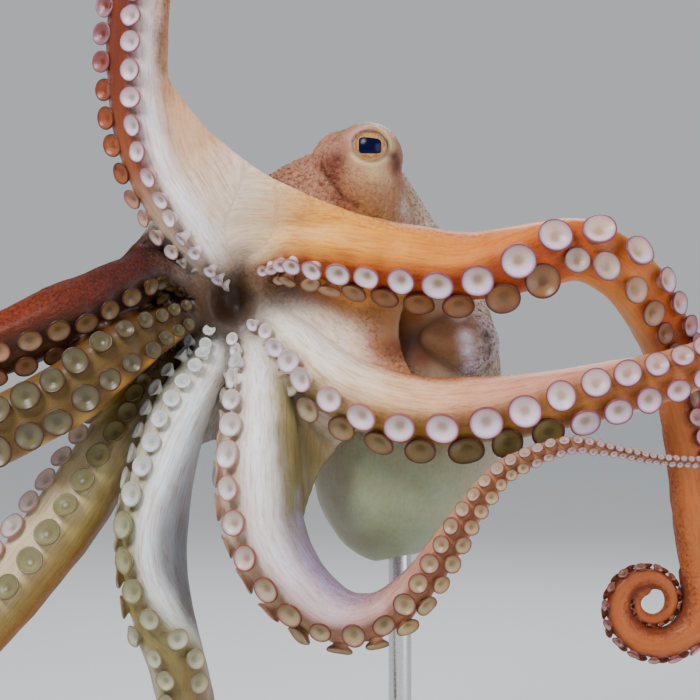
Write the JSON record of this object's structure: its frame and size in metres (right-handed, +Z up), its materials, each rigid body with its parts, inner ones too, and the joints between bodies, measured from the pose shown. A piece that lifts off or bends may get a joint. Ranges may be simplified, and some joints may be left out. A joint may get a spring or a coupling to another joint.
{
  "type": "octopus",
  "caption": "Common octopus as a still life-size model, arms spread and curled at the tips, suckers showing, held by one rod on a flat round display stand.",
  "frame": {"origin": "centre of the stand's flat underside", "axes": "+Z up; the arms spread in the X-Z plane with their suckers towards -Y; the eye that shows faces -Y"},
  "size_m": [0.4119, 0.196, 0.4383],
  "materials": {
    "skin": "wet, finely wrinkled skin, orange-brown to cream",
    "web": "wet, thin pale skin",
    "eye": "wet, golden with a dark bar pupil",
    "stand": "satin black paint",
    "rod": "fine brushed"
  },
  "bodies": {
    "root": {"arm_l1_1": "skin", "arm_l1_2": "skin", "arm_l1_3": "skin", "arm_l1_4": "skin", "arm_l2_1": "skin", "arm_l2_2": "skin", "arm_l2_3": "skin", "arm_l3_1": "skin", "arm_l3_2": "skin", "arm_l3_3": "skin", "arm_l3_4": "skin", "arm_l4_1": "skin", "arm_l4_2": "skin", "arm_l4_3": "skin", "arm_r1_1": "skin", "arm_r1_2": "skin", "arm_r1_3": "skin", "arm_r2_1": "skin", "arm_r2_2": "skin", "arm_r2_3": "skin", "arm_r3_1": "skin", "arm_r3_2": "skin", "arm_r3_3": "skin", "arm_r4_1": "skin", "arm_r4_2": "skin", "arm_r4_3": "skin", "crown": "web", "eye_left": "eye", "eye_right": "eye", "funnel": "skin", "head": "skin", "mantle": "skin", "stand_base": "stand", "stand_rod": "rod", "web_l1_l2": "web", "web_l2_l3": "web", "web_l3_l4": "web", "web_l4_r4": "web", "web_r1_l1": "web", "web_r2_r1": "web", "web_r4_r3": "web"}
  },
  "joints": []
}
